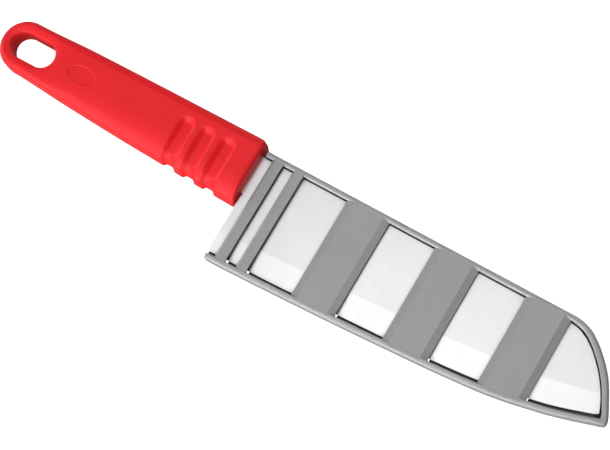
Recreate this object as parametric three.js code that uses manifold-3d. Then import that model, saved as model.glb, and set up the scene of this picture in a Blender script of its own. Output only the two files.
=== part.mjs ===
// Camp chef's knife in its openwork blade guard. Millimetres, +X toward the tip,
// +Y toward the spine, +Z out of the face.
// Three real pieces: blade (with its hidden tang), overmoulded handle, sheath.
import * as THREE from 'three';
import { mergeVertices } from 'three/addons/utils/BufferGeometryUtils.js';
import Module from 'manifold-3d';

const wasm = await Module();
wasm.setup();

// ---------------------------------------------------------------- dimensions
const HANDLE_FRONT_X = -0.5;      // front face of the handle
const HANDLE_HALF_T = 7.0;        // half thickness at the front
const HANDLE_TAPER = 0.0165;      // loss of half thickness per mm toward the butt
const BUTT_C = [-104.9, -8.85];   // centre of the butt arc
const BUTT_R = 10.35;
const HOLE_A = [-105.2, -8.9];    // hang slot, centre of its rear end
const HOLE_B = [-96.4, -8.9];     // hang slot, centre of its front end
const HOLE_R = 5.35;
const HOLE_RIM = 1.5;             // rim chamfer of the slot
const GROOVE_X = [-30.72, -21.72, -12.72];
const GROOVE_TOP_Y = -3.05;       // where a groove starts on the face
const GROOVE_MOUTH = 3.1;         // half width at the surface of the face
const GROOVE_FLOOR = 1.32;        // half width at the bottom
const GROOVE_DEPTH = 1.9;         // on the face
const NOTCH_DEPTH = 1.25;         // on the lower facet and under the belly
const FRONT_LEAN = 0.015;         // the front face leans back by this much per mm of height
const TOP_FACET = 1.85;           // width of the sloping facet along the top
const CREASE = [0.65, 3.5, 6.8, 10.1];   // insets of the belly creases and of the start of the bow
const BOW = 1.25;                 // drop of the face at the upper belly crease, at the front

const BLADE_HALF_T = 0.8;
const EDGE_HALF_T = 0.08;
const HEEL_X = 0.15;
const SPINE_Y = -2.35;
const TANG_END_X = -72;
const TANG_GAP = 0.25;            // cavity around the tang
const KEY_HOLES = [[-22, -9.8, 3.6], [-54, -9.6, 3.2]];  // x, y, radius in the tang
const KEY_GAP = 0.3;

const SHEATH_HALF_T = 2.9;
const RAIL_CHAMFER = 0.75;
const EDGE_RAIL_OUTER = 1.3;      // the rail under the edge falls away outside and is square inside
const EDGE_RAIL_INNER = 0.2;
const CHANNEL_HALF = 1.1;         // half of the slot the blade slides in
const MOUTH_X = 0.3;
const NARROW = [[4.0, 8.75], [13.0, 17.6]];
const WIDE = [[36.3, 54.3], [73.3, 91.3], [110.3, 128.3]];
const WIDE_BEVEL = 2.8;
const WIDE_EDGE_Z = 2.15;         // height of a wide band at its bevelled side edges
const BACK_SHIFT = 0.1;           // back bands start this far past a front band
const UNDERCUT = [1.4, 2.2];      // length of the raised underside at a narrow and at a wide band's tip side

// ------------------------------------------------------------------- helpers
const V2 = (p) => new THREE.Vector2(p[0], p[1]);

function toManifold(geometry) {
  let g = geometry.clone();
  if (g.attributes.normal) g.deleteAttribute('normal');
  if (g.attributes.uv) g.deleteAttribute('uv');
  g = mergeVertices(g, 1e-5);
  const mesh = new wasm.Mesh({
    numProp: 3,
    vertProperties: new Float32Array(g.attributes.position.array),
    triVerts: new Uint32Array(g.index.array),
  });
  mesh.merge();
  return new wasm.Manifold(mesh);
}

function toGeometry(solid) {
  const m = solid.getMesh();
  const pos = new Float32Array(m.numVert * 3);
  for (let i = 0; i < m.numVert; i++)
    for (let c = 0; c < 3; c++) pos[i * 3 + c] = m.vertProperties[i * m.numProp + c];
  const g = new THREE.BufferGeometry();
  g.setAttribute('position', new THREE.BufferAttribute(pos, 3));
  g.setIndex(new THREE.BufferAttribute(new Uint32Array(m.triVerts), 1));
  return g;
}

// prism of a 2-D outline between two heights
function prism(points, z0, z1) {
  const shape = new THREE.Shape(points.map(V2));
  const g = new THREE.ExtrudeGeometry(shape, { depth: z1 - z0, bevelEnabled: false, steps: 1 });
  g.translate(0, 0, z0);
  return toManifold(g);
}

// closed loft of rings that all have the same number of points, capped at both ends
function loft(rings, capPlane = 'xy') {
  const n = rings[0].length;
  const pos = [];
  for (const r of rings) for (const p of r) pos.push(p[0], p[1], p[2]);
  const idx = [];
  for (let k = 0; k < rings.length - 1; k++)
    for (let i = 0; i < n; i++) {
      const j = (i + 1) % n;
      const a = k * n + i, b = k * n + j, c = (k + 1) * n + j, d = (k + 1) * n + i;
      idx.push(a, b, c, a, c, d);
    }
  const axes = { xy: [0, 1], yz: [1, 2], xz: [0, 2] }[capPlane];
  const flat = (r) => r.map((p) => new THREE.Vector2(p[axes[0]], p[axes[1]]));
  const cap = (ring, offset, last) => {
    const f = flat(ring);
    const tris = THREE.ShapeUtils.triangulateShape(f, []);
    const total = tris.reduce((s, t) => s + THREE.ShapeUtils.area(t.map((q) => f[q])), 0);
    const same = (total > 0) === (THREE.ShapeUtils.area(f) > 0);
    for (const t of tris) {
      const q = same ? t : [t[2], t[1], t[0]];
      if (last) idx.push(offset + q[0], offset + q[1], offset + q[2]);
      else idx.push(offset + q[2], offset + q[1], offset + q[0]);
    }
  };
  cap(rings[0], 0, false);
  cap(rings[rings.length - 1], (rings.length - 1) * n, true);
  // faces out
  let volume = 0;
  for (let i = 0; i < idx.length; i += 3) {
    const [a, b, c] = [0, 1, 2].map((q) => new THREE.Vector3().fromArray(pos, idx[i + q] * 3));
    volume += a.dot(b.cross(c));
  }
  if (volume < 0) for (let i = 0; i < idx.length; i += 3) [idx[i], idx[i + 2]] = [idx[i + 2], idx[i]];
  const g = new THREE.BufferGeometry();
  g.setAttribute('position', new THREE.BufferAttribute(new Float32Array(pos), 3));
  g.setIndex(idx);
  return toManifold(g);
}

const lerp = (a, b, t) => a + (b - a) * t;
function yAt(curve, x) {
  if (x <= curve[0][0]) return curve[0][1];
  for (let i = 0; i < curve.length - 1; i++) {
    const [x0, y0] = curve[i], [x1, y1] = curve[i + 1];
    if (x <= x1) return lerp(y0, y1, (x - x0) / (x1 - x0));
  }
  return curve[curve.length - 1][1];
}
function stadium(a, b, r, seg) {
  const pts = [];
  for (let i = 0; i <= seg; i++) {
    const t = Math.PI / 2 + (Math.PI * i) / seg;
    pts.push([a[0] + r * Math.cos(t), a[1] + r * Math.sin(t)]);
  }
  for (let i = 0; i <= seg; i++) {
    const t = -Math.PI / 2 + (Math.PI * i) / seg;
    pts.push([b[0] + r * Math.cos(t), b[1] + r * Math.sin(t)]);
  }
  return pts;
}
const halfT = (x) => HANDLE_HALF_T - HANDLE_TAPER * Math.max(0, HANDLE_FRONT_X - x);

// the innermost step of the handle lies exactly on the tapered face; on the back, which the
// knife lies on, so does the step before it, and the flat runs further down the belly
const onFace = (p, i, back) => {
  if (i === 4) return halfT(p[0]);
  return back && i === 3 ? Math.min(halfT(p[0]), halfT(-3)) : p[2];
};

// -------------------------------------------------------------------- handle
// half section at an outline point: five [inset, z] steps from the middle of the side to the flat face
const smooth = (t) => { const u = Math.min(1, Math.max(0, t)); return u * u * (3 - 2 * u); };
const roundSection = (h) => [[0, 0], [0, h - 2.7], [0.79, h - 0.79], [2.7, h], [3.6, h]];
const bellySection = (h, x) => {
  const drop = BOW - 0.75 * smooth((-x - 45) / 45);
  return [[0.17, 0], [CREASE[0], h - drop - 1.78], [CREASE[1], h - drop], [CREASE[2], h - drop / 4], [CREASE[3], h]];
};
const topSection = (h) => [[0, 0], [0.24, h - 0.98], [1.05, h - 0.5], [TOP_FACET, h], [3, h]];
const frontSection = (h) => [[0, 0], [FRONT_LEAN * h, h - 0.6], [FRONT_LEAN * h + 0.6, h - 0.25],
  [FRONT_LEAN * h + 1.1, h], [FRONT_LEAN * h + 1.9, h]];
const mix = (a, b, t) => a.map((p, i) => [lerp(p[0], b[i][0], t), lerp(p[1], b[i][1], t)]);

function buildHandle() {
  // outline, counter-clockwise; each point holds five [x, y, z] steps of its half section
  const P = [];
  const inwardOf = (x, y, nx, ny, section) => P.push(section.map(([d, z]) => [x - nx * d, y - ny * d, z]));
  const hf = halfT(-3);
  // front lower corner: the belly's insets run up, the front's insets run back
  for (const [k, d] of [-90, -45, 0].entries()) {
    const t = (d * Math.PI) / 180;
    const b = bellySection(hf, 0), f = frontSection(hf);
    P.push(b.map(([dy, z], i) => [HANDLE_FRONT_X - 0.9 + 0.9 * Math.cos(t) - f[i][0] - 0.02 * (2 - k), -22.75 + 0.9 * Math.sin(t) + dy + 0.02 * k,
      Math.min(z, lerp(z, f[i][1], k / 2))]));
  }
  inwardOf(HANDLE_FRONT_X, -9, 1, 0, frontSection(hf));
  // front upper corner
  for (const d of [0, 30, 60, 90]) {
    const t = (d * Math.PI) / 180;
    inwardOf(HANDLE_FRONT_X - 2.9 + 2.9 * Math.cos(t), -0.16 + 2.9 * Math.sin(t), Math.cos(t), Math.sin(t),
      mix(frontSection(hf), topSection(hf), d / 90));
  }
  for (const [x, y] of [[-25, 2.68], [-45, 2.58], [-69, 2.38], [-80, 2.22], [-90, 1.92], [-98, 1.56]])
    inwardOf(x, y, 0, 1, mix(topSection(halfT(x)), roundSection(halfT(x)), smooth((-x - 76) / 23)));
  for (let d = 88; d <= 268; d += 15) {
    const t = (d * Math.PI) / 180;
    inwardOf(BUTT_C[0] + BUTT_R * Math.cos(t), BUTT_C[1] + BUTT_R * Math.sin(t), Math.cos(t), Math.sin(t),
      roundSection(halfT(BUTT_C[0])));
  }
  for (const [x, y] of [[-98, -19.5], [-92, -19.9], [-84, -20.35], [-75, -20.9], [-63, -21.55], [-50, -22.15],
    [-36, -22.6], [-26, -23.05], [-12, -23.4]])
    inwardOf(x, y, 0, -1, mix(bellySection(halfT(x), x), roundSection(halfT(x)), smooth((-x - 76) / 23)));
  const rings = [];
  for (const i of [4, 3, 2, 1]) rings.push(P.map((p) => [p[i][0], p[i][1], -onFace(p[i], i, true)]));
  for (const i of [1, 2, 3, 4]) rings.push(P.map((p) => [p[i][0], p[i][1], onFace(p[i], i, false)]));
  rings.splice(4, 0, P.map((p) => [p[0][0], p[0][1], 0]));
  let solid = loft(rings);

  // hang slot with chamfered rims
  const zf = halfT(-101);
  const slotRing = (r, z) => stadium(HOLE_A, HOLE_B, r, 8).map(([x, y]) => [x, y, z]);
  solid = solid.subtract(loft([
    slotRing(HOLE_R + HOLE_RIM + 1, -zf - 1), slotRing(HOLE_R + HOLE_RIM, -zf),
    slotRing(HOLE_R + 0.45, -zf + 0.7), slotRing(HOLE_R, -zf + 1.7),
    slotRing(HOLE_R, zf - 1.7), slotRing(HOLE_R + 0.45, zf - 0.7),
    slotRing(HOLE_R + HOLE_RIM, zf), slotRing(HOLE_R + HOLE_RIM + 1, zf + 1)]));

  // grip grooves: each follows the face and the lower facet, then crosses the belly as a notch
  for (const gx of GROOVE_X) {
    const h = halfT(gx);
    const yb = yAt([[-50, -22.15], [-36, -22.6], [-26, -23.05], [-12, -23.4], [-1, -23.6]], gx);
    const drop = BOW;
    const slope = (GROOVE_MOUTH - GROOVE_FLOOR) / GROOVE_DEPTH;
    const rung = (y, surface, depth, side) => {
      const up = 1.2, wide = GROOVE_FLOOR + slope * (depth + up);
      return [[gx - GROOVE_FLOOR, y, side * (surface - depth)], [gx + GROOVE_FLOOR, y, side * (surface - depth)],
        [gx + wide, y, side * (surface + up)], [gx - wide, y, side * (surface + up)]];
    };
    for (const side of [1, -1])
      solid = solid.subtract(loft([
        rung(GROOVE_TOP_Y + 0.6, h, -0.45, side), rung(GROOVE_TOP_Y - 2.4, h, GROOVE_DEPTH, side),
        rung(yb + CREASE[3], h, GROOVE_DEPTH, side), rung(yb + CREASE[1], h - drop, NOTCH_DEPTH + 0.2, side),
        rung(yb + CREASE[0] - 0.3, h - drop - 2.0, NOTCH_DEPTH + 0.6, side), rung(yb - 1.5, h - drop - 3.4, NOTCH_DEPTH + 0.6, side)], 'xz'));
    const k = GROOVE_FLOOR + slope * (NOTCH_DEPTH + 1);
    solid = solid.subtract(prism([
      [gx - k, yb - 0.8], [gx + k, yb - 0.8], [gx + GROOVE_FLOOR, yb + 0.2 + NOTCH_DEPTH], [gx - GROOVE_FLOOR, yb + 0.2 + NOTCH_DEPTH]], -9, 9));
  }

  // cavity the tang sits in, less the posts that key through it
  const zc = BLADE_HALF_T + TANG_GAP;
  let cavity = prism(tangOutline(TANG_GAP, 2), -zc, zc);
  for (const [x, y, r] of KEY_HOLES)
    cavity = cavity.subtract(prism(stadium([x, y], [x + 0.001, y], r - KEY_GAP, 8), -zc - 1, zc + 1));
  return solid.subtract(cavity);
}

// tang outline grown by g; front runs forward of the handle face by ext
function tangOutline(g, ext) {
  return [[HANDLE_FRONT_X + ext, SPINE_Y + g], [-6, -2.7 + g], [-60, -4.6 + g], [TANG_END_X + 2, -5.4 + g],
    [TANG_END_X - g, -7.6], [TANG_END_X - g, -12.0], [TANG_END_X + 2.4, -14.2 - g],
    [-50, -15.2 - g], [-8, -17.6 - g], [-2.5, -18.3 - g], [HANDLE_FRONT_X + ext, -18.3 - g]];
}

// --------------------------------------------------------------------- blade
const EDGE = [[HEEL_X, -42.95], [11.4, -42.6], [26.5, -42.1], [41, -41.4], [56.2, -40.4], [70.8, -39.6],
  [84, -38.75], [93.8, -38.0], [101, -37.35], [108, -36.6], [116, -35.45], [123, -34.35], [130, -33.0],
  [135.6, -31.7], [141.5, -30.0], [146.9, -28.2], [151.0, -26.8], [152.0, -26.1]];
const SPINE = [[HEEL_X, SPINE_Y], [60, SPINE_Y], [126.5, SPINE_Y], [129.1, -2.45], [131, -2.75], [132.8, -3.25],
  [134.4, -4.0], [136, -4.85], [137.3, -5.8], [138.6, -6.75], [140.8, -8.7], [142.7, -10.7], [144.6, -12.8],
  [146.35, -15.1], [148.2, -17.8], [149.1, -19.4], [150.1, -21.15], [151.0, -23.1], [151.6, -24.5], [152.0, -25.6]];
const GRIND = [[HEEL_X, -34.55], [9, -34.05], [17, -33.75], [35, -33.0], [54.7, -31.2], [71.8, -30.0],
  [91.2, -28.75], [108.6, -27.0], [118, -25.9], [128.3, -24.4], [138, -22.4], [148.6, -19.6], [152.0, -18.6]];

function buildBlade() {
  const xs = [...new Set([...EDGE, ...SPINE, ...GRIND].map((p) => p[0]))].sort((a, b) => a - b)
    .filter((x, i, all) => i === 0 || i === all.length - 1 || x - all[i - 1] > 0.25);
  const rings = xs.map((x) => {
    const ys = yAt(SPINE, x), ye = yAt(EDGE, x);
    const yg0 = yAt(GRIND, x);
    const span = yg0 - ye;
    const zAt = (y) => (y >= yg0 ? BLADE_HALF_T : lerp(EDGE_HALF_T, BLADE_HALF_T, (y - ye) / span));
    const yg = Math.min(yg0, lerp(ye, ys, 0.9));
    return [[x, ys, -zAt(ys)], [x, ys, zAt(ys)], [x, yg, zAt(yg)], [x, ye, EDGE_HALF_T],
      [x, ye, -EDGE_HALF_T], [x, yg, -zAt(yg)]].reverse();
  });
  let solid = loft(rings, 'yz');
  solid = solid.add(prism(tangOutline(0, 1.2), -BLADE_HALF_T, BLADE_HALF_T));
  for (const [x, y, r] of KEY_HOLES)
    solid = solid.subtract(prism(stadium([x, y], [x + 0.001, y], r, 8), -3, 3));
  // relief notch where the heel meets the tang
  solid = solid.subtract(prism(stadium([-0.6, -18.85], [0.1, -18.85], 0.55, 6), -3, 3));
  return solid;
}

// -------------------------------------------------------------------- sheath
// stations around the rim: outer point, inner point
const RIM = [
  [[MOUTH_X, 0.05], [MOUTH_X, -2.15]], [[36, 0.1], [36, -2.15]], [[73, 0.1], [73, -2.15]],
  [[110, 0.1], [110, -2.15]], [[128.5, 0.1], [128.5, -2.18]], [[130.6, 0.0], [130.2, -2.35]],
  [[132.7, -0.4], [131.9, -2.7]], [[134.7, -1.05], [133.6, -3.15]], [[136.5, -1.85], [135.1, -3.85]],
  [[138.15, -2.9], [136.5, -4.75]], [[139.65, -4.0], [137.85, -5.75]], [[142.4, -6.35], [140.4, -7.9]],
  [[144.8, -8.7], [142.8, -10.1]], [[147.1, -11.25], [144.9, -12.4]], [[149.3, -14.1], [146.9, -14.85]],
  [[151.3, -17.4], [148.9, -17.75]], [[153.4, -21.5], [151.0, -21.6]], [[154.7, -23.9], [152.3, -24.1]],
  [[155.9, -26.4], [153.1, -26.0]], [[156.25, -27.6], [153.45, -27.2]],
  [[155.95, -29.1], [153.3, -27.6]], [[154.4, -29.85], [152.6, -27.85]], [[151.3, -30.9], [150.2, -28.75]],
  [[147.3, -32.2], [146.4, -30.1]], [[141.0, -34.1], [140.2, -31.95]], [[135.6, -35.55], [134.9, -33.4]],
  [[130.1, -36.75], [129.4, -34.5]], [[124.6, -37.95], [124.0, -35.6]], [[119, -38.95], [118.5, -36.55]],
  [[113.4, -39.8], [113.0, -37.4]], [[107.8, -40.45], [107.4, -38.0]], [[102.2, -40.95], [101.9, -38.5]],
  [[90.9, -41.9], [90.6, -39.4]], [[79.4, -42.65], [79.2, -40.25]], [[67.8, -43.4], [67.6, -40.95]],
  [[56.1, -44.1], [56, -41.6]], [[44.3, -44.75], [44.2, -42.25]], [[32, -45.35], [31.9, -42.9]],
  [[20.3, -45.9], [20.2, -43.4]], [[8.2, -46.4], [8.1, -43.9]], [[1.15, -46.6], [1.15, -44.15]],
  [[0.28, -45.9], [0.28, -44.4]]];

function buildSheath() {
  const h = SHEATH_HALF_T;
  const rings = RIM.map(([o, i]) => {
    const w = Math.hypot(o[0] - i[0], o[1] - i[1]);
    const t = smooth((-o[1] - 28.5) / 2);
    const co = lerp(RAIL_CHAMFER, EDGE_RAIL_OUTER, t), ci = lerp(RAIL_CHAMFER, EDGE_RAIL_INNER, t);
    const ko = Math.min(co / w, 0.6), ki = Math.min(ci / w, 0.33);
    const at = (q, z) => [lerp(o[0], i[0], q), lerp(o[1], i[1], q), z];
    return [at(0, h - co), at(ko, h), at(1 - ki, h), at(1, h - ci),
      at(1, -h + ci), at(1 - ki, -h), at(ko, -h), at(0, -h + co)];
  });
  let solid = loft(rings, 'yz');
  const mid = RIM.map(([o, i]) => [lerp(o[0], i[0], 0.5), lerp(o[1], i[1], 0.5)]).reverse();
  mid[0] = [MOUTH_X, mid[0][1]];
  const inside = prism(mid, -4, 4);
  // bands: sections in X-Z carried across the guard, trimmed to the middle of the rim
  const band = (section) => {
    const g = prism(section, -5, 50);
    return g.rotate([90, 0, 0]).intersect(inside);
  };
  const bands = [];
  for (const [a, b] of NARROW)
    bands.push([[a, CHANNEL_HALF], [b - UNDERCUT[0], CHANNEL_HALF], [b - 0.2, 2.05], [b, h], [a + 1.1, h], [a + 0.3, h - 0.35], [a, h - 1.1]]);
  for (const [a, b] of WIDE)
    bands.push([[a, CHANNEL_HALF], [b - UNDERCUT[1], CHANNEL_HALF], [b - 0.1, 1.72], [b, WIDE_EDGE_Z], [b - WIDE_BEVEL, h],
      [a + WIDE_BEVEL, h], [a, WIDE_EDGE_Z]]);
  const fronts = [[-9, MOUTH_X - BACK_SHIFT], ...NARROW, ...WIDE, [170, 180]];
  for (let i = 0; i < fronts.length - 1; i++) {
    const a = fronts[i][1] + BACK_SHIFT, b = fronts[i + 1][0];
    bands.push([[a, -h], [b, -h], [b, -CHANNEL_HALF], [a, -CHANNEL_HALF]]);
  }
  for (const s of bands) solid = solid.add(band(s));
  return solid;
}

// ------------------------------------------------------------------ assembly
const solids = { blade: buildBlade(), handle: buildHandle(), sheath: buildSheath() };
const looks = {
  blade: { color: 0xc9cbcc, roughness: 0.35, metalness: 1.0 },
  handle: { color: 0xd8222c, roughness: 0.45, metalness: 0.0 },
  sheath: { color: 0x8c8e90, roughness: 0.55, metalness: 0.0 },
};

const group = new THREE.Group();
group.name = 'camp_knife';
const box = new THREE.Box3();
for (const [name, solid] of Object.entries(solids)) {
  const mesh = new THREE.Mesh(toGeometry(solid), new THREE.MeshStandardMaterial(looks[name]));
  mesh.name = name;
  mesh.geometry.computeBoundingBox();
  box.union(mesh.geometry.boundingBox);
  group.add(mesh);
}
// the origin is the middle of the footprint, at the lowest point
const centre = box.getCenter(new THREE.Vector3());
for (const mesh of group.children) {
  mesh.geometry.translate(-centre.x, -centre.y, -box.min.z);
  mesh.geometry.computeVertexNormals();
}

export default group;
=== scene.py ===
# Sheathed camp chef's knife: blade, handle and blade guard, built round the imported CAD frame.
# Shapes are worked out in knife millimetres: x = 0 near the handle's front face, +x to the tip,
# +y to the spine, z = 0 in the middle of the blade. D moves them into the row frame.
import bpy, math
import numpy as np
from mathutils import Matrix, Vector


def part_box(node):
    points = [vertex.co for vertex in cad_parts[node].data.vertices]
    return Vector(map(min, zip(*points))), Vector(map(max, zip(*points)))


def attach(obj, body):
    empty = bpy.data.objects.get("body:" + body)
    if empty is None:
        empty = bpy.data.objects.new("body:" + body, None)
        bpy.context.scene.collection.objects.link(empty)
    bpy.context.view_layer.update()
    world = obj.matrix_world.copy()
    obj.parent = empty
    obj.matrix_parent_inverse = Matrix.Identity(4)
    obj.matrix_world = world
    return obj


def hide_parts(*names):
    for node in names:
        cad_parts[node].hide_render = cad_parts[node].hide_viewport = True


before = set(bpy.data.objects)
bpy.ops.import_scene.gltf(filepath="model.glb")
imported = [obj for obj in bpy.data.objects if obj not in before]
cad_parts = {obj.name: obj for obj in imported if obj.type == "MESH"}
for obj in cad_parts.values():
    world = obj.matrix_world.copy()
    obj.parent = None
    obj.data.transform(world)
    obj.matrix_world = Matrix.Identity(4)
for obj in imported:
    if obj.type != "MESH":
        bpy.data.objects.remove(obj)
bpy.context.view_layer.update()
_lo, _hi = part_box("blade")
D = np.array([_hi[0] * 1000 - 152.0, _hi[1] * 1000 + 2.35, _hi[2] * 1000 - 0.8])


def row(p):
    """knife millimetres -> row frame metres"""
    return (np.asarray(p, float) + D) / 1000.0


# ------------------------------------------------------------ distance-field tools
def rmax(a, b, r):
    """intersection with a rounded edge"""
    u = np.maximum(a + r, 0); v = np.maximum(b + r, 0)
    return np.minimum(-r, np.maximum(a, b)) + np.sqrt(u * u + v * v)


def rmin(a, b, r):
    """union with a filleted corner"""
    u = np.maximum(r - a, 0); v = np.maximum(r - b, 0)
    return np.maximum(r, np.minimum(a, b)) - np.sqrt(u * u + v * v)


def step(x, a, b):
    t = np.clip((x - a) / (b - a), 0, 1)
    return t * t * (3 - 2 * t)


def seg_dist(x, y, a, b):
    dx, dy = b[0] - a[0], b[1] - a[1]
    t = np.clip(((x - a[0]) * dx + (y - a[1]) * dy) / max(dx * dx + dy * dy, 1e-9), 0, 1)
    return np.hypot(x - a[0] - t * dx, y - a[1] - t * dy)


def smooth_path(pts, n=8):
    """Catmull-Rom through the points (centripetal), open ends kept"""
    p = np.asarray(pts, float)
    p = np.vstack([2 * p[0] - p[1], p, 2 * p[-1] - p[-2]])
    out = []
    for i in range(1, len(p) - 2):
        p0, p1, p2, p3 = p[i - 1], p[i], p[i + 1], p[i + 2]
        t0 = 0.0
        t1 = t0 + np.linalg.norm(p1 - p0) ** 0.5
        t2 = t1 + np.linalg.norm(p2 - p1) ** 0.5
        t3 = t2 + np.linalg.norm(p3 - p2) ** 0.5
        for t in np.linspace(t1, t2, n, endpoint=False):
            a1 = (t1 - t) / (t1 - t0) * p0 + (t - t0) / (t1 - t0) * p1
            a2 = (t2 - t) / (t2 - t1) * p1 + (t - t1) / (t2 - t1) * p2
            a3 = (t3 - t) / (t3 - t2) * p2 + (t - t2) / (t3 - t2) * p3
            b1 = (t2 - t) / (t2 - t0) * a1 + (t - t0) / (t2 - t0) * a2
            b2 = (t3 - t) / (t3 - t1) * a2 + (t - t1) / (t3 - t1) * a3
            out.append((t2 - t) / (t2 - t1) * b1 + (t - t1) / (t2 - t1) * b2)
    out.append(p[-2])
    return np.array(out)


def profile(pts):
    """y(x) through control points, smooth"""
    d = smooth_path(pts, 12)
    d = d[np.argsort(d[:, 0])]
    return lambda x: np.interp(x, d[:, 0], d[:, 1])


class Flat:
    """signed distance to a closed polygon, tabulated on a fine grid"""

    def __init__(self, poly, pad=3.0, h=0.25):
        q = np.asarray(poly, np.float32)
        self.lo = q.min(0) - pad
        self.h = h
        n = np.ceil((q.max(0) + pad - self.lo) / h).astype(int) + 1
        X, Y = np.meshgrid(self.lo[0] + h * np.arange(n[0]), self.lo[1] + h * np.arange(n[1]), indexing="ij")
        X, Y = X.ravel().astype(np.float32), Y.ravel().astype(np.float32)
        best = np.full(X.shape, 1e9, np.float32)
        inside = np.zeros(X.shape, bool)
        for i in range(len(q)):
            a, b = q[i], q[(i + 1) % len(q)]
            d = b - a
            t = np.clip(((X - a[0]) * d[0] + (Y - a[1]) * d[1]) / max(float(d @ d), 1e-9), 0, 1)
            ex, ey = X - a[0] - t * d[0], Y - a[1] - t * d[1]
            np.minimum(best, ex * ex + ey * ey, out=best)
            if a[1] != b[1]:
                cross = ((a[1] > Y) != (b[1] > Y)) & (X < (b[0] - a[0]) * (Y - a[1]) / (b[1] - a[1]) + a[0])
                inside ^= cross
        s = np.sqrt(best)
        self.t = np.where(inside, -s, s).reshape(n)

    def __call__(self, x, y):
        u = np.clip((x - self.lo[0]) / self.h, 0, self.t.shape[0] - 1.001)
        v = np.clip((y - self.lo[1]) / self.h, 0, self.t.shape[1] - 1.001)
        i, j = u.astype(int), v.astype(int)
        u, v = u - i, v - j
        t = self.t
        return (t[i, j] * (1 - u) + t[i + 1, j] * u) * (1 - v) + (t[i, j + 1] * (1 - u) + t[i + 1, j + 1] * u) * v


def slope(f, p, e=0.03):
    """gradient of f at points, by the tetrahedron rule"""
    g = np.zeros_like(p)
    for k in ((1, -1, -1), (-1, -1, 1), (-1, 1, -1), (1, 1, 1)):
        q = p + e * np.array(k)
        g += f(q[:, 0], q[:, 1], q[:, 2])[:, None] * np.array(k)
    return g / (4 * e)


def skin(f, lo, hi, h):
    """closed quad mesh of f = 0 inside the box; each vertex sits where the tangent planes round it meet"""
    ax = [np.arange(lo[k], hi[k] + h, h) for k in range(3)]
    n = [len(a) for a in ax]
    F = np.empty(n, np.float32)
    Y, Z = np.meshgrid(ax[1], ax[2], indexing="ij")
    for i0 in range(0, n[0], 48):
        xs = ax[0][i0:i0 + 48]
        X = np.repeat(xs, Y.size)
        F[i0:i0 + 48] = f(X, np.tile(Y.ravel(), len(xs)), np.tile(Z.ravel(), len(xs))).reshape(len(xs), n[1], n[2])
    m = (n[0] - 1, n[1] - 1, n[2] - 1)
    total = m[0] * m[1] * m[2]
    cells, points, crossings = [], [], []
    for a in range(3):
        sl0 = [slice(None)] * 3; sl1 = [slice(None)] * 3
        sl0[a] = slice(0, -1); sl1[a] = slice(1, None)
        A, B = F[tuple(sl0)], F[tuple(sl1)]
        hit = (A < 0) != (B < 0)
        idx = np.argwhere(hit)
        t = (A[hit] / (A[hit] - B[hit]))
        pos = idx.astype(float)
        pos[:, a] += t
        pos = np.array(lo) + h * pos
        b, c = [k for k in range(3) if k != a]
        crossings.append((a, b, c, idx, A[hit] < 0))
        g = slope(f, pos, 0.02)
        g /= np.maximum(np.linalg.norm(g, axis=1), 1e-9)[:, None]
        for db in (0, 1):
            for dc in (0, 1):
                cell = idx.copy()
                cell[:, b] -= db; cell[:, c] -= dc
                ok = np.all((cell >= 0) & (cell < np.array(m)), axis=1)
                cells.append(np.ravel_multi_index(cell[ok].T, m))
                points.append(np.hstack([pos[ok], g[ok]]))
    cells = np.concatenate(cells)
    points = np.vstack(points)
    used, inv = np.unique(cells, return_inverse=True)
    number = np.full(total, -1, np.int64)
    number[used] = np.arange(len(used))
    number = number.reshape(m)
    k = len(used)
    cnt = np.bincount(inv, minlength=k).astype(float)
    P0 = np.stack([np.bincount(inv, points[:, j], k) for j in range(3)], 1) / cnt[:, None]
    q, nn = points[:, :3] - P0[inv], points[:, 3:]
    M = np.zeros((k, 3, 3))
    r = np.zeros((k, 3))
    dist = (q * nn).sum(1)
    for i in range(3):
        r[:, i] = np.bincount(inv, nn[:, i] * dist, k)
        for j in range(3):
            M[:, i, j] = np.bincount(inv, nn[:, i] * nn[:, j], k)
    M += 0.06 * np.eye(3)
    move = np.linalg.solve(M, r[:, :, None])[:, :, 0]
    ijk = np.stack(np.unravel_index(used, m), 1)
    mid_c = np.array(lo) + h * (ijk + 0.5)
    P = P0 + move
    P = np.clip(P, mid_c - 0.62 * h, mid_c + 0.62 * h)
    g = slope(f, P, 0.02)
    d = f(P[:, 0], P[:, 1], P[:, 2])
    P = P - g * np.clip(d / np.maximum((g * g).sum(1), 0.3), -0.2 * h, 0.2 * h)[:, None]
    quads = []
    for a, b, c, idx, neg in crossings:
        ok = (idx[:, b] >= 1) & (idx[:, c] >= 1) & (idx[:, b] < m[b]) & (idx[:, c] < m[c])
        idx, neg = idx[ok], neg[ok]
        def cell(db, dc):
            w = idx.copy(); w[:, b] -= db; w[:, c] -= dc
            return number[w[:, 0], w[:, 1], w[:, 2]]
        w = np.stack([cell(1, 1), cell(0, 1), cell(0, 0), cell(1, 0)], 1)
        flip = neg if a != 1 else ~neg
        quads.append(np.where(flip[:, None], w, w[:, ::-1]))
    return P, np.vstack(quads)


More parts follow.
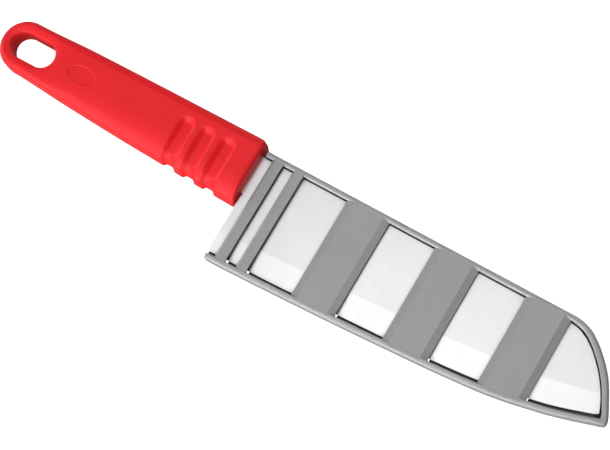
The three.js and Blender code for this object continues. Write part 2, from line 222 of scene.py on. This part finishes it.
def make_mesh(name, P, Q, f=None, keep=1.0):
    me = bpy.data.meshes.new(name)
    me.vertices.add(len(P))
    me.vertices.foreach_set("co", row(P).astype(np.float32).ravel())
    k = Q.shape[1]
    me.loops.add(Q.size)
    me.loops.foreach_set("vertex_index", Q.astype(np.int32).ravel())
    me.polygons.add(len(Q))
    me.polygons.foreach_set("loop_start", np.arange(0, Q.size, k, dtype=np.int32))
    me.polygons.foreach_set("loop_total", np.full(len(Q), k, np.int32))
    me.update(calc_edges=True)
    me.validate()
    ob = bpy.data.objects.new(name, me)
    bpy.context.scene.collection.objects.link(ob)
    if keep < 1:
        mod = ob.modifiers.new("thin", "DECIMATE")
        mod.ratio = keep
        bake_modifiers(ob)
    me = ob.data
    me.polygons.foreach_set("use_smooth", np.ones(len(me.polygons), bool))
    if f is not None:
        # every face corner takes the surface's own slope a little inside its face, so edges stay crisp
        co = np.empty(len(me.vertices) * 3, np.float32)
        me.vertices.foreach_get("co", co)
        co = co.reshape(-1, 3).astype(float) * 1000 - D
        vi = np.empty(len(me.loops), np.int32)
        me.loops.foreach_get("vertex_index", vi)
        tot = np.empty(len(me.polygons), np.int32)
        me.polygons.foreach_get("loop_total", tot)
        face = np.repeat(np.arange(len(tot)), tot)
        mid_p = np.stack([np.bincount(face, co[vi, j], len(tot)) for j in range(3)], 1) / tot[:, None]
        way = mid_p[face] - co[vi]
        ln = np.maximum(np.linalg.norm(way, axis=1), 1e-9)
        p = co[vi] + way * np.minimum(0.35, 0.16 / ln)[:, None]
        g = slope(f, p, 0.03)
        g /= np.maximum(np.linalg.norm(g, axis=1), 1e-9)[:, None]
        me.normals_split_custom_set(g.tolist())
    print(name, "faces", len(me.polygons), "triangles", int((tot - 2).sum()) if f is not None else 0)
    return ob


def bake_modifiers(ob):
    dg = bpy.context.evaluated_depsgraph_get()
    me = bpy.data.meshes.new_from_object(ob.evaluated_get(dg))
    old = ob.data
    ob.modifiers.clear()
    ob.data = me
    bpy.data.meshes.remove(old)


# ------------------------------------------------------------------------- handle
FRONT_X = -0.55
BUTT = (-104.9, -8.85)
BUTT_R = 10.34
HOLE = ((-105.2, -8.9), (-96.4, -8.9), 5.35)
GROOVES = (-30.72, -21.72, -12.72)
top_y = profile([(-112, 1.48), (-104.9, 1.48), (-102, 1.5), (-86, 1.78), (-69, 1.98), (-45, 2.18), (-25, 2.28), (-5, 2.36), (8, 2.38)])
belly_y = profile([(-112, -19.19), (-104.9, -19.19), (-103, -19.21), (-100, -19.38), (-88, -20.1), (-75, -20.8), (-63, -21.45),
                   (-50, -22.05), (-36, -22.5), (-26, -22.95), (-12, -23.3), (-3, -23.48), (8, -23.7)])


def half_t(x):
    return 6.97 - 0.0165 * np.maximum(0, FRONT_X - x)


def tang_plan(x, y):
    """the steel's outline inside the handle"""
    d = np.maximum(y - (-2.35 + 0.0441 * np.minimum(x, 0)), -(y - (-18.3 - 0.0593 * (x + 0.45))))
    d = np.maximum(d, -72.0 - x)
    return np.maximum(d, x - (FRONT_X - 1.3))


def handle_f(x, y, z):
    rear = step(-x, 76, 99)                  # the facets melt into a round edge toward the butt
    yt, yb = top_y(x) + 0.37 * (1 - rear), belly_y(x) - 0.1 * (1 - rear)
    h = half_t(x)
    az = np.abs(z)
    # rear part: flat faces with one round edge
    side = np.maximum(y - yt, yb - y)
    side = np.where(x < BUTT[0], np.hypot(x - BUTT[0], y - BUTT[1]) - BUTT_R, side)
    d_rear = rmax(side, az - h, 2.7)
    # front part: bowed face, long lower facet, drafted belly wall, upper facet
    v = y - yb
    bow = (1.25 - 0.75 * step(-x, 45, 90)) * np.clip((10.2 - v) / 6.6, 0, 1.35) ** 2
    bow = np.where(z > 0, bow, 0.6 * bow)
    z1 = h - 1.25 + 0.75 * step(-x, 45, 90)
    d = (az - h + bow) * 0.96
    z1 = np.where(z > 0, z1, z1 + 0.5)
    d = rmax(d, -0.5299 * (v - 3.6) + 0.8480 * (az - z1), 0.3)
    d = rmax(d, 0.2725 + 0.135 * z - v, np.where(z > 0, 0.7, 0.35))
    fx = x - FRONT_X + np.where(z > 0, 0.015, 0.10) * az     # the front face stands almost square
    f5 = y - yt + 0.04 * az
    plan = rmax(f5, fx, 1.8)
    top = step(f5 - fx, -3, 1)
    c = 1.15 + 0.70 * top
    d = rmax(d, 0.4695 * (plan + c) + 0.8829 * (az - h), 0.7)   # 28 degree facet along the top and round the front
    d = rmax(d, plan, 1.0)
    d = d * (1 - rear) + d_rear * rear
    # hang slot
    slot = seg_dist(x, y, HOLE[0], HOLE[1]) - HOLE[2]
    lead = seg_dist(x + 1.0, y - 1.0, HOLE[0], HOLE[1]) - HOLE[2]
    d = rmax(d, 0.45 * (1.0 - lead) + 0.893 * (az - h), 1.2)     # the lead-in is widest above and behind
    d = rmax(d, -slot, 0.8)
    # three grip grooves that follow the section from the upper face round the belly
    near = (x > -38) & (x < -5) & (y < -1)
    if near.any():
        xn, yn, zn, vn, dn = x[near], y[near], az[near], v[near], d[near]
        deep = 1.15 + 0.48 * step(vn, 2.5, 8.0)
        run = 1.16 + 0.92 * step(vn, -0.2, 1.6)
        t = -dn
        q = np.clip(t / deep, -0.6, 1.2)
        cut = np.full(xn.shape, 1e3)
        for gx in GROOVES:
            wall = (np.abs(xn - gx) - (1.32 + run * (1 - q))) * 0.70
            top = (yn - (-3.05 - 2.42 * q)) * 0.6
            wall = rmax(wall, top, np.clip(2.15 - 1.6 * q, 0.4, 2.4))
            cut = np.minimum(cut, rmax(wall, t - deep, 0.25))
        d[near] = rmax(dn, -cut, 0.35)
    # plain oval recess where a maker would mould a mark
    oval = np.hypot((x + MARK[0]) / MARK[2], (y + MARK[1]) / MARK[3])
    rec = rmax((oval - 1) * MARK[3], h - z - 0.25, 0.12)
    d = np.where(z > 0, rmax(d, -rec, 0.15), d)
    # cavity round the tang, with two posts left standing through it
    cav = np.maximum(az - 0.95, tang_plan(x, y) - 0.13)
    for px, py, r in ((-22, -9.8, 3.3), (-54, -9.6, 2.9)):
        cav = np.maximum(cav, r - np.hypot(x - px, y - py))
    return np.maximum(d, -cav)


MARK = (77.6, 8.9, 5.9, 3.5)

# -------------------------------------------------------------------------- blade
EDGE = profile([(0.15, -42.95), (11.4, -42.6), (26.5, -42.1), (41, -41.35), (56.2, -40.4), (70.8, -39.6), (84, -38.75),
                (93.8, -38.0), (101, -37.35), (108, -36.6), (116, -35.5), (123, -34.4), (130, -33.0), (135.6, -31.7),
                (141.5, -30.0), (146.9, -28.2), (151.0, -26.75), (152.0, -26.15)])
NOSE = smooth_path([(120, -2.35), (126.5, -2.35), (129.1, -2.45), (131, -2.75), (132.8, -3.25), (134.4, -4.0), (136, -4.85), (137.3, -5.8),
                    (138.6, -6.75), (140.8, -8.7), (142.7, -10.7), (144.6, -12.8), (146.35, -15.1), (148.2, -17.8),
                    (149.1, -19.4), (150.1, -21.15), (151.0, -23.1), (151.6, -24.5), (152.0, -25.7)], 6)
GRIND = profile([(0.15, -34.55), (9, -34.1), (17, -33.75), (35, -32.75), (54.7, -31.3), (71.8, -30.1), (91.2, -28.6),
                 (108.6, -26.9), (118, -25.8), (128.3, -24.3), (138, -22.4), (148.6, -19.6), (152.0, -18.6)])


def blade_mesh():
    xs = np.unique(np.concatenate([np.linspace(0.15, 128, 64), NOSE[NOSE[:, 0] > 128][:, 0], np.linspace(128, 151.5, 24)]))
    keep = [xs[0]]
    for x in xs[1:]:
        if x - keep[-1] > 0.08:
            keep.append(x)
    xs = np.array(keep)
    ys = np.where(xs < 120, -2.35, np.interp(xs, NOSE[:, 0], NOSE[:, 1]))
    ye, yg = EDGE(xs), GRIND(xs)
    T, CH, MB = 0.8, 0.28, 0.85           # half thickness, spine chamfer, width of the fine edge bevel
    rings = []
    for x, s, e, g in zip(xs, ys, ye, yg):
        # height of the ground surface at y
        zb = lambda y: T if y >= g else 0.16 + (T - 0.16) * max(0.0, (y - (e + MB)) / (g - (e + MB)))
        full = s - e
        ch = min(CH, 0.2 * full)
        mb = min(MB, 0.35 * full)
        g2 = min(g, e + mb + 0.75 * (full - ch - mb))
        pts = [(s, max(zb(s - ch) - ch, 0.04)), (s - ch, zb(s - ch)), (g2, zb(g2)), (e + mb, zb(e + mb)), (e, 0.03)]
        ring = [(x, y, z) for y, z in pts] + [(x, y, -z) for y, z in reversed(pts)]
        rings.append(ring)
    n = len(rings[0])
    P = np.array(rings).reshape(-1, 3)
    faces = []
    for k in range(len(rings) - 1):
        for i in range(n):
            j = (i + 1) % n
            faces.append((k * n + i, k * n + j, (k + 1) * n + j, (k + 1) * n + i))
    faces.append(tuple(reversed(range(n))))
    faces.append(tuple((len(rings) - 1) * n + i for i in range(n)))
    me = bpy.data.meshes.new("knife_blade")
    me.from_pydata([tuple(v) for v in row(P)], [], faces)
    return me


def prism(name, outline, z0, z1):
    n = len(outline)
    v = [tuple(row((x, y, z0))) for x, y in outline] + [tuple(row((x, y, z1))) for x, y in outline]
    f = [tuple(reversed(range(n))), tuple(range(n, 2 * n))]
    f += [(i, (i + 1) % n, n + (i + 1) % n, n + i) for i in range(n)]
    me = bpy.data.meshes.new(name)
    me.from_pydata(v, [], f)
    ob = bpy.data.objects.new(name, me)
    bpy.context.scene.collection.objects.link(ob)
    fix_normals(ob)
    return ob


def fix_normals(ob):
    import bmesh
    bm = bmesh.new()
    bm.from_mesh(ob.data)
    bmesh.ops.recalc_face_normals(bm, faces=bm.faces)
    bm.to_mesh(ob.data)
    bm.free()


def circle(x, y, r, n=32):
    return [(x + r * math.cos(2 * math.pi * i / n), y + r * math.sin(2 * math.pi * i / n)) for i in range(n)]


def build_blade():
    ob = bpy.data.objects.new("knife_blade", blade_mesh())
    bpy.context.scene.collection.objects.link(ob)
    fix_normals(ob)
    tang = prism("tang_tool", [(0.9, -2.6), (-0.6, -2.42), (-60, -5.05), (-70, -5.5), (-71.9, -7.6), (-71.9, -12.0), (-69.6, -14.15),
                               (-2.5, -18.2), (0.9, -18.35)], -0.8, 0.8)
    tools = [(tang, "UNION")]
    for x, y, r in ((-22, -9.8, 3.6), (-54, -9.6, 3.2)):
        tools.append((prism("hole_tool", circle(x, y, r), -3, 3), "DIFFERENCE"))
    tools.append((prism("notch_tool", circle(-0.12, -18.85, 0.62, 20), -3, 3), "DIFFERENCE"))
    for tool, op in tools:
        mod = ob.modifiers.new("cut", "BOOLEAN")
        mod.operation, mod.solver, mod.object = op, "EXACT", tool
        bake_modifiers(ob)
        bpy.data.objects.remove(tool)
    ob.data.polygons.foreach_set("use_smooth", np.ones(len(ob.data.polygons), bool))
    ob.data.set_sharp_from_angle(angle=math.radians(2.2))
    return ob


# -------------------------------------------------------------------------- guard
OUTER = [(0.9, 0.05), (20, 0.06), (60, 0.08), (100, 0.1), (120, 0.1), (128.5, 0.1), (130.6, 0.0), (132.7, -0.4), (134.7, -1.03), (136.5, -1.85), (138.15, -2.9),
         (139.65, -4.0), (141.1, -5.15), (142.4, -6.33), (143.6, -7.5), (144.8, -8.7), (146.0, -9.95), (147.1, -11.25), (148.2, -12.6),
         (149.3, -14.1), (150.3, -15.7), (151.35, -17.5), (152.4, -19.45), (153.45, -21.5), (154.7, -24.0), (155.75, -26.2), (156.15, -27.4), (156.2, -28.3),
         (155.75, -29.2), (154.6, -29.8), (151.3, -30.9), (147.3, -32.2), (141.0, -34.1), (135.6, -35.55), (130.1, -36.75),
         (124.6, -37.95), (119, -38.95), (113.4, -39.8), (107.8, -40.45), (102.2, -40.95), (90.9, -41.9), (79.4, -42.65), (67.8, -43.4),
         (56.1, -44.1), (44.3, -44.75), (32, -45.35), (20.3, -45.9), (8.2, -46.4), (1.6, -46.57)]
INNER = [(0.9, -2.15), (20, -2.15), (60, -2.15), (100, -2.15), (120, -2.15), (128.3, -2.17), (130.2, -2.35), (131.9, -2.7), (133.6, -3.2), (135.1, -3.9), (136.5, -4.75), (137.85, -5.75),
         (139.2, -6.85), (140.4, -7.95), (141.6, -9.1), (142.8, -10.3), (143.9, -11.5), (144.95, -12.75), (146.0, -14.1), (147.0, -15.45), (148.0, -16.9), (148.95, -18.4), (149.95, -20.2),
         (151.0, -22.2), (152.1, -24.4), (152.95, -26.2), (153.25, -27.1), (153.1, -27.65), (152.5, -27.95), (150.4, -28.75), (146.4, -30.15),
         (140.2, -32.0), (134.9, -33.4), (129.4, -34.55), (124.0, -35.65), (118.5, -36.6), (113.0, -37.4), (107.4, -38.05), (101.9, -38.6), (90.6, -39.5),
         (79.2, -40.3), (67.6, -41.0), (56, -41.65), (44.2, -42.3), (31.9, -42.95), (20.2, -43.45), (8.1, -43.92), (0.9, -44.12)]
NARROW = ((4.0, 8.75), (13.0, 17.6))
WIDE = ((36.3, 54.3), (73.3, 91.3), (110.3, 128.3))
HALF = 2.885
SLOT = 1.1
BACK = 0.1

outer_path = smooth_path(OUTER, 5)
inner_path = smooth_path(INNER, 5)
outer_poly = np.vstack([outer_path, [(1.15, -46.5), (0.75, -46.28), (0.48, -45.95), (0.33, -45.4), (0.28, -44.9), (0.28, -44.3)],
                        [(0.33, -1.2), (0.33, -0.8), (0.42, -0.25), (0.62, 0.0)]])
inner_poly = np.vstack([[(-4, -2.15)], inner_path, [(-4, -44.2)]])


def resample(p, n):
    s = np.r_[0, np.cumsum(np.hypot(*np.diff(p, axis=0).T))]
    t = np.linspace(0, s[-1], n)
    return np.stack([np.interp(t, s, p[:, 0]), np.interp(t, s, p[:, 1])], 1)


def mid_path():
    a = resample(outer_path, 500)
    out = []
    for q in a[::2]:
        d = inner_path - q
        k = int(np.argmin((d * d).sum(1)))
        out.append((q + inner_path[k]) / 2)
    return np.array(out)


mid = mid_path()
mid_poly = np.vstack([[(MX, mid[0][1]) for MX in (0.3,)], mid[1:-1], [(0.3, mid[-1][1])]])
outer_flat = Flat(outer_poly)
inner_flat = Flat(inner_poly)
mid_flat = Flat(mid_poly)


def under(x, z, b, w, zt, inside):
    """underside of a band: the blade slot, rising toward the band's edge at b, less so beside the rails"""
    k = (zt - SLOT) / w * step(inside, 0.3, 1.5)
    return np.maximum(SLOT - z, (SLOT + (x - b + w) * k - z) / np.hypot(1, k))


def guard_f(x, y, z):
    az = np.abs(z)
    # the rim: round over the spine and the nose; under the edge it is square inside and falls away outside
    low = step(-y - 0.06 * np.maximum(x - 150, 0), 28.2, 31.0)
    ro, ri = 1.05 + 0.95 * low, 1.05 - 0.75 * low
    rail = rmax(rmax(outer_flat(x, y), az - HALF, ro), -inner_flat(x, y), ri)
    m = mid_flat(x, y)
    inside = -inner_flat(x, y)               # how far inside the rim
    draft = 0.24 * step(inside, 0.2, 1.2)
    bands = np.full(x.shape, 1e3)
    for a, b in NARROW:
        s = np.maximum(rmax(a - x, z - HALF, 1.45), rmax(x - b + draft * (HALF - z), z - HALF, 0.12))
        bands = np.minimum(bands, np.maximum(s, under(x, z, b, 1.4, 2.2, inside)))
    k = math.hypot(0.735, 2.8)
    for a, b in WIDE:
        lb = (-0.735 * (x - a) + 2.8 * (z - 2.15)) / k
        rb = (0.735 * (x - b) + 2.8 * (z - 2.15)) / k
        s = rmax(rmax(a - x, lb, 0.12), rmax(x - b + draft * (2.15 - z), rb, 0.10), 0.02)
        s = rmax(s, z - HALF, 0.02)
        bands = np.minimum(bands, np.maximum(s, under(x, z, b, 2.2, 1.75, inside)))
    ends = [(-9.0, 0.3 - BACK)] + list(NARROW) + list(WIDE) + [(170.0, 180.0)]
    for i in range(len(ends) - 1):
        a, b = ends[i][1] + BACK, ends[i + 1][0]
        if b - a > 12:
            lb = (-0.735 * (x - a) + 2.8 * (-z - 2.15)) / k
            rb = (0.735 * (x - b) + 2.8 * (-z - 2.15)) / k
            s = rmax(rmax(a - x, lb, 0.12), rmax(x - b, rb, 0.12), 0.02)
            s = rmax(s, -z - HALF, 0.02)
        else:
            e = min(0.8, 0.3 * (b - a))
            s = np.maximum(rmax(a - x, -z - HALF, e), rmax(x - b, -z - HALF, e))
        bands = np.minimum(bands, np.maximum(s, SLOT + z))
    bands = np.maximum(bands, m)
    return rmin(rail, bands, 0.12)


# ---------------------------------------------------------------------- materials
def new_material(name):
    m = bpy.data.materials.new(name)
    m.use_nodes = True
    nt = m.node_tree
    for n in list(nt.nodes):
        nt.nodes.remove(n)
    out = nt.nodes.new("ShaderNodeOutputMaterial")
    bsdf = nt.nodes.new("ShaderNodeBsdfPrincipled")
    nt.links.new(bsdf.outputs[0], out.inputs[0])
    return m, nt, bsdf


def node(nt, kind, **kw):
    n = nt.nodes.new(kind)
    for k, v in kw.items():
        if k.startswith("in_"):
            key = k[3:]
            n.inputs[int(key) if key.isdigit() else key.replace("_", " ")].default_value = v
        else:
            setattr(n, k, v)
    return n


def noise(nt, vec, scale, stretch=(1, 1, 1), detail=3.0, rough=0.55, offset=(0, 0, 0)):
    mp = node(nt, "ShaderNodeMapping")
    mp.inputs["Scale"].default_value = stretch
    mp.inputs["Location"].default_value = offset
    nt.links.new(vec, mp.inputs["Vector"])
    n = node(nt, "ShaderNodeTexNoise")
    n.inputs["Scale"].default_value = scale
    n.inputs["Detail"].default_value = detail
    n.inputs["Roughness"].default_value = rough
    nt.links.new(mp.outputs[0], n.inputs["Vector"])
    return n.outputs["Fac"]


def remap(nt, fac, a, b, lo, hi):
    n = node(nt, "ShaderNodeMapRange")
    n.inputs["From Min"].default_value = a
    n.inputs["From Max"].default_value = b
    n.inputs["To Min"].default_value = lo
    n.inputs["To Max"].default_value = hi
    nt.links.new(fac, n.inputs["Value"])
    return n.outputs["Result"]


def math_node(nt, op, a, b):
    n = node(nt, "ShaderNodeMath", operation=op)
    for i, v in enumerate((a, b)):
        if isinstance(v, (int, float)):
            n.inputs[i].default_value = v
        else:
            nt.links.new(v, n.inputs[i])
    return n.outputs[0]


def scale_color(nt, color, fac):
    """colour times a brightness factor"""
    n = node(nt, "ShaderNodeVectorMath", operation="SCALE")
    n.inputs[0].default_value = color
    nt.links.new(fac, n.inputs["Scale"])
    return n.outputs["Vector"]


def bump(nt, height, distance, strength, bsdf, previous=None):
    b = node(nt, "ShaderNodeBump")
    b.inputs["Strength"].default_value = strength
    b.inputs["Distance"].default_value = distance
    nt.links.new(height, b.inputs["Height"])
    if previous is not None:
        nt.links.new(previous, b.inputs["Normal"])
    if bsdf is not None:
        nt.links.new(b.outputs[0], bsdf.inputs["Normal"])
    return b.outputs[0]


def painted_crevice_shade(nt, distance, lo, hi, dark):
    """painted shade: an ambient-occlusion factor, 1 on open surface, falling to dark where a wall stands close by,
    multiplied into colours to paint shade into crevices and gaps
    """
    ao = node(nt, "ShaderNodeAmbientOcclusion")
    ao.samples = 8
    ao.inputs["Distance"].default_value = distance
    return remap(nt, ao.outputs["AO"], lo, hi, dark, 1.0)


def steel_material():
    m, nt, bsdf = new_material("satin_steel")
    vec = node(nt, "ShaderNodeTexCoord").outputs["Object"]
    fine = noise(nt, vec, 1.0, (5200, 110, 900), 3, 0.6)
    mid_n = noise(nt, vec, 1.0, (1700, 45, 400), 4, 0.6, (3, 1, 0))
    broad = noise(nt, vec, 1.0, (70, 55, 60), 2, 0.5, (1, 7, 0))
    tone = math_node(nt, "ADD", remap(nt, mid_n, 0.3, 0.7, 0.955, 1.02), remap(nt, broad, 0.3, 0.7, -0.02, 0.015))
    tone = math_node(nt, "ADD", tone, remap(nt, fine, 0.3, 0.7, -0.025, 0.02))
    # painted shade: ambient occlusion darkens the steel's colour where walls stand close, beside the guard's bands and
    # the handle
    tone = math_node(nt, "MULTIPLY", tone, painted_crevice_shade(nt, 0.0032, 0.30, 0.82, 0.38))
    nt.links.new(scale_color(nt, (0.825, 0.83, 0.835), tone), bsdf.inputs["Base Color"])
    bsdf.inputs["Metallic"].default_value = 1.0
    nt.links.new(remap(nt, mid_n, 0.25, 0.75, 0.30, 0.40), bsdf.inputs["Roughness"])
    n1 = bump(nt, fine, 0.00002, 0.35, None)
    bump(nt, mid_n, 0.00004, 0.25, bsdf, n1)
    return m


def plastic_material(name, color, rough, spec, grain, tone_amp, shade=None):
    m, nt, bsdf = new_material(name)
    vec = node(nt, "ShaderNodeTexCoord").outputs["Object"]
    cloud = noise(nt, vec, 1.0, (60, 60, 60), 3, 0.55, (2, 5, 1))
    speck = noise(nt, vec, 1.0, (1500, 1500, 1500), 2, 0.5)
    tone = math_node(nt, "ADD", remap(nt, cloud, 0.3, 0.7, 1 - tone_amp, 1 + tone_amp), remap(nt, speck, 0.3, 0.7, -0.02, 0.02))
    if shade:
        # painted shade: ambient occlusion darkens the colour and turns down the specular in crevices and gaps
        painted_shade_factor = painted_crevice_shade(nt, *shade)
        tone = math_node(nt, "MULTIPLY", tone, painted_shade_factor)
        shade_dimmed_gloss = node(nt, "ShaderNodeMapRange")
        shade_dimmed_gloss.inputs["To Min"].default_value, shade_dimmed_gloss.inputs["To Max"].default_value = 0.0, spec
        nt.links.new(painted_shade_factor, shade_dimmed_gloss.inputs["Value"])
        nt.links.new(shade_dimmed_gloss.outputs[0], bsdf.inputs["Specular IOR Level"])
    nt.links.new(scale_color(nt, color, tone), bsdf.inputs["Base Color"])
    wear = noise(nt, vec, 1.0, (220, 380, 300), 4, 0.6, (9, 4, 2))
    nt.links.new(remap(nt, wear, 0.25, 0.75, rough - 0.05, rough + 0.07), bsdf.inputs["Roughness"])
    if not shade:
        bsdf.inputs["Specular IOR Level"].default_value = spec
    g1 = noise(nt, vec, 1.0, (2600, 2600, 2600), 2, 0.5, (4, 4, 4))
    n1 = bump(nt, g1, 0.00003, grain, None)
    bump(nt, noise(nt, vec, 1.0, (330, 330, 330), 2, 0.5), 0.0001, 0.05, bsdf, n1)
    return m


# ------------------------------------------------------------------------- pieces
handle_P, handle_Q = skin(handle_f, (-116.5, -24.6, -7.9), (0.9, 3.4, 7.9), 0.32)
handle = make_mesh("knife_handle", handle_P, handle_Q, handle_f, 0.5)
guard_P, guard_Q = skin(guard_f, (-1.3, -47.6, -3.75), (157.4, 1.3, 3.75), 0.36)
guard = make_mesh("blade_guard", guard_P, guard_Q, guard_f, 0.45)
blade = build_blade()

red = plastic_material("red_handle_plastic", (0.82, 0.0130, 0.0190), 0.40, 0.27, 0.12, 0.02)
# the grey guard gets painted shade and dimmed specular in its slots and gaps: ambient-occlusion distance, from, to,
# darkest
grey = plastic_material("grey_guard_plastic", (0.284, 0.2885, 0.294), 0.30, 0.95, 0.08, 0.03, (0.003, 0.42, 0.74, 0.06))
steel = steel_material()
for ob, mat, body, cad, slot_name in ((handle, red, "knife", "handle", "handle_plastic"),
                                      (guard, grey, "guard", "sheath", "sheath_plastic"),
                                      (blade, steel, "knife", "blade", "blade_steel")):
    ob.data.materials.clear()
    ob.data.materials.append(mat)
    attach(ob, body)
    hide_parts(cad)

# ------------------------------------------------------------------- floor, lights
def floor_material():
    m, nt, bsdf = new_material("studio_floor")
    bsdf.inputs["Base Color"].default_value = (0.9, 0.9, 0.9, 1)
    bsdf.inputs["Roughness"].default_value = 0.9
    bsdf.inputs["Specular IOR Level"].default_value = 0.1
    bsdf.inputs["Emission Color"].default_value = (1, 1, 1, 1)
    bsdf.inputs["Emission Strength"].default_value = 0.85
    # seen directly it is plain white paper; what it throws back onto the object is modest
    dim = node(nt, "ShaderNodeBsdfDiffuse")
    dim.inputs["Color"].default_value = (0.38, 0.38, 0.38, 1)
    path = node(nt, "ShaderNodeLightPath")
    mix = node(nt, "ShaderNodeMixShader")
    nt.links.new(path.outputs["Is Camera Ray"], mix.inputs[0])
    nt.links.new(dim.outputs[0], mix.inputs[1])
    nt.links.new(bsdf.outputs[0], mix.inputs[2])
    out = [n for n in nt.nodes if n.type == "OUTPUT_MATERIAL"][0]
    nt.links.new(mix.outputs[0], out.inputs[0])
    return m


me = bpy.data.meshes.new("studio_floor")
s = 6.0
me.from_pydata([(-s, -s, -0.0003), (s, -s, -0.0003), (s, s, -0.0003), (-s, s, -0.0003)], [], [(0, 1, 2, 3)])
floor = bpy.data.objects.new("studio_floor", me)
bpy.context.scene.collection.objects.link(floor)
me.materials.append(floor_material())

world = bpy.data.worlds.new("studio")
bpy.context.scene.world = world
world.use_nodes = True
bg = world.node_tree.nodes["Background"]
bg.inputs[0].default_value = (1, 1, 1, 1)
bg.inputs[1].default_value = 0.0


def softbox(name, target, direction, distance, size, watts):
    light = bpy.data.lights.new(name, "AREA")
    light.shape = "RECTANGLE"
    light.size, light.size_y = size
    light.energy = watts
    ob = bpy.data.objects.new(name, light)
    bpy.context.scene.collection.objects.link(ob)
    d = Vector(direction).normalized()
    ob.location = Vector(target) + d * distance
    ob.rotation_euler = d.to_track_quat("Z", "Y").to_euler()
    return ob


# soft lights all round, strongest from the edge side: azimuth from +X toward +Y, elevation, size, watts
for az, el, sx, sy, watts in ((-90, 9, 1.4, 0.36, 15.0), (-125, 15, 1.0, 0.5, 3.4), (-115, 40, 1.0, 0.8, 4.3), (-80, 40, 1.0, 0.8, 5.9),
                              (180, 45, 0.9, 0.9, 1.2), (180, 14, 1.2, 0.5, 7.0), (90, 25, 1.2, 0.6, 8.5), (0, 90, 1.0, 1.0, 3.1), (-100, 68, 0.9, 0.9, 2.7),
                              (140, 72, 0.8, 0.8, 1.1), (-5, 58, 0.8, 0.8, 0.9)):
    a, e = math.radians(az), math.radians(el)
    softbox("softbox_%d_%d" % (az % 360, el), (0, 0, 0.006), (math.cos(a) * math.cos(e), math.sin(a) * math.cos(e), math.sin(e)), 1.5, (sx, sy), watts)

# ------------------------------------------------------------------------- camera
R = [[0.8488348012465978, 0.5088304191777563, -0.143426234392588],
     [0.46286196262006424, -0.8463938238737173, -0.2633938087122191],
     [-0.2554178610672148, 0.15719128292566226, -0.9539667797256011]]
cam_data = bpy.data.cameras.new("camera")
cam_data.sensor_width = 36.0
cam_data.lens = 36.0 * 1640.08 / 610.0
cam_data.clip_start = 0.02
cam_data.clip_end = 20.0
cam = bpy.data.objects.new("camera", cam_data)
bpy.context.scene.collection.objects.link(cam)
right, down, fwd = Vector(R[0]), Vector(R[1]), Vector(R[2])
pos = Vector(row((180.44, -111.82, 573.60)))
cam.matrix_world = Matrix(((right.x, -down.x, -fwd.x, pos.x), (right.y, -down.y, -fwd.y, pos.y),
                           (right.z, -down.z, -fwd.z, pos.z), (0, 0, 0, 1)))
bpy.context.scene.camera = cam
bpy.context.scene.view_settings.view_transform = "Standard"
